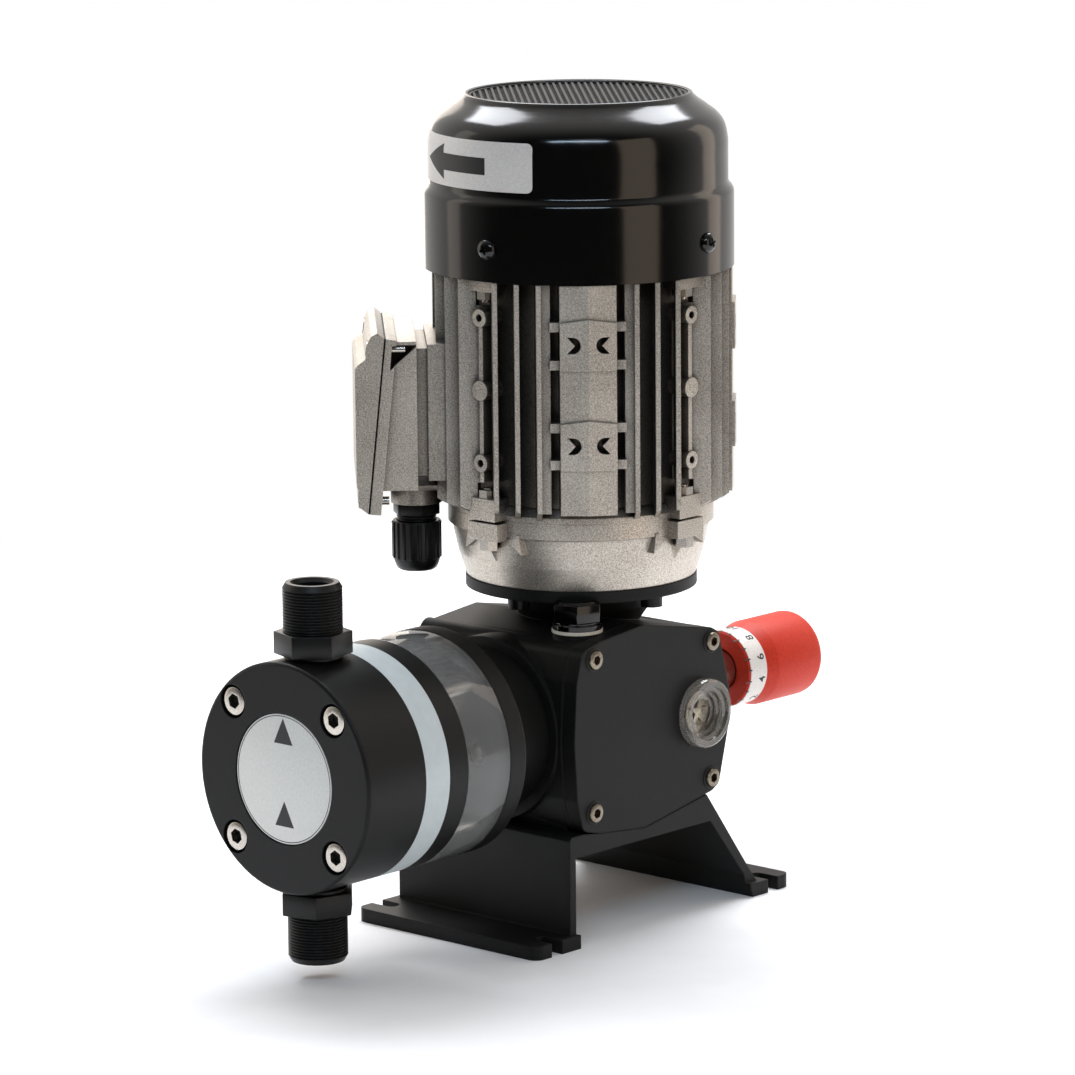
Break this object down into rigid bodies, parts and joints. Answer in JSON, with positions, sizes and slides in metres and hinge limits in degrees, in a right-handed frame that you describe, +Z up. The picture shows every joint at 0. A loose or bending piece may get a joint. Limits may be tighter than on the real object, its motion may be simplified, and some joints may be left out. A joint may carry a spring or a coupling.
{
  "type": "diaphragm metering pump",
  "caption": "Motor-driven diaphragm metering pump: vertical finned motor on a worm gearbox, round pump head with two valves, stroke knob and slotted base.",
  "frame": {"origin": "centre of the four foot slots, on the floor plane", "axes": "+Z up along the motor shaft, pump head towards -Y, stroke knob towards +Y, side cover with the sight glass towards +X"},
  "size_m": [0.1735, 0.3457, 0.3755],
  "materials": {
    "black_casting": "matte fine texture powder coat",
    "black_plastic": "matte black plastic",
    "bronze": "bronze",
    "ceramic": "ceramic ball",
    "clear_plastic": "clear acrylic",
    "copper": "enamelled copper winding",
    "cover_black": "glossy black paint",
    "cream_plastic": "cream plastic washer",
    "die_cast": "speckled die-cast paint",
    "gasket_paper": "gasket sheet",
    "label_grey": "printed label",
    "label_silver": "silver label foil",
    "laminated": "electrical steel laminations",
    "red_plastic": "satin red-orange plastic",
    "rubber": "black rubber",
    "stainless": "stainless screws",
    "steel": "ground steel",
    "white_plastic": "matte white plastic"
  },
  "bodies": {
    "pump": {"adjuster_bush": "steel", "base_bracket": "black_casting", "base_screws": "stainless", "cable_gland_body": "black_plastic", "cable_gland_nut": "black_plastic", "cable_gland_seal": "rubber", "clear_sleeve": "clear_plastic", "cover_gasket": "gasket_paper", "diaphragm": "rubber", "discharge_valve_body": "black_plastic", "end_shield_bolts": "stainless", "fan_cover": "cover_black", "fan_cover_screws": "cover_black", "fan_grille": "cover_black", "fill_plug_washer": "cream_plastic", "gearbox_housing": "black_casting", "gearbox_seal": "rubber", "head_label": "label_grey", "head_screws": "stainless", "lantern": "black_casting", "lantern_screws": "stainless", "motor_bearings": "steel", "motor_end_shield": "die_cast", "motor_flange_screws": "stainless", "oil_fill_plug": "black_plastic", "plain_bushes": "bronze", "pump_head": "black_plastic", "rear_end_shield": "die_cast", "return_spring": "steel", "rotation_label": "label_silver", "shaft_bearings": "steel", "side_cover": "black_casting", "side_cover_screws": "stainless", "sight_glass": "clear_plastic", "stator_core": "laminated", "stator_frame": "die_cast", "stator_windings": "copper", "suction_valve_body": "black_plastic", "support_ring": "black_plastic", "terminal_board": "black_plastic", "terminal_box_base": "die_cast", "terminal_box_gasket": "rubber", "terminal_box_lid": "die_cast", "terminal_box_screws": "stainless", "valve_seats": "white_plastic", "white_spacer_ring": "white_plastic", "worm_bearing": "steel"},
    "rotor": {"rotor_shaft": "steel", "rotor_core": "laminated", "cooling_fan": "black_plastic", "worm": "steel"},
    "eccentric": {"eccentric_shaft": "steel", "worm_wheel": "bronze"},
    "pusher": {"push_rod": "steel"},
    "adjuster": {"adjuster_spindle": "steel"},
    "stroke_knob": {"knob": "red_plastic", "knob_scale": "label_silver"},
    "suction_check": {"suction_ball": "ceramic"},
    "discharge_check": {"discharge_ball": "ceramic"}
  },
  "joints": [
    {"name": "motor_spin", "type": "hinge", "parent": "pump", "child": "rotor", "pos_m": [0, 0.005, 0.0932], "axis": [0, 0, 1], "continuous": true},
    {"name": "wheel_spin", "type": "hinge", "parent": "pump", "child": "eccentric", "pos_m": [0, -0.021, 0.0932], "axis": [1, 0, 0], "continuous": true},
    {"name": "rod_slide", "type": "slide", "parent": "pump", "child": "pusher", "axis": [0, 1, 0], "range_m": [0, 0.004], "stiffness_N_per_m": 2500, "springref_m": 0.01, "deforming": ["return_spring", "diaphragm"]},
    {"name": "adjuster_slide", "type": "slide", "parent": "pump", "child": "adjuster", "axis": [0, 1, 0], "range_m": [-0.004, 0]},
    {"name": "knob_turn", "type": "hinge", "parent": "adjuster", "child": "stroke_knob", "pos_m": [0, 0.13, 0.0932], "axis": [0, 1, 0], "range_deg": [-180, 0]},
    {"name": "suction_ball_lift", "type": "slide", "parent": "pump", "child": "suction_check", "axis": [0, 0, 1], "range_m": [0, 0.003]},
    {"name": "discharge_ball_lift", "type": "slide", "parent": "pump", "child": "discharge_check", "axis": [0, 0, 1], "range_m": [0, 0.003]}
  ],
  "couplings": [
    {"joint": "wheel_spin", "follows": "motor_spin", "ratio": -0.083333},
    {"joint": "adjuster_slide", "follows": "knob_turn", "m_per_rad": 0.0012732}
  ]
}
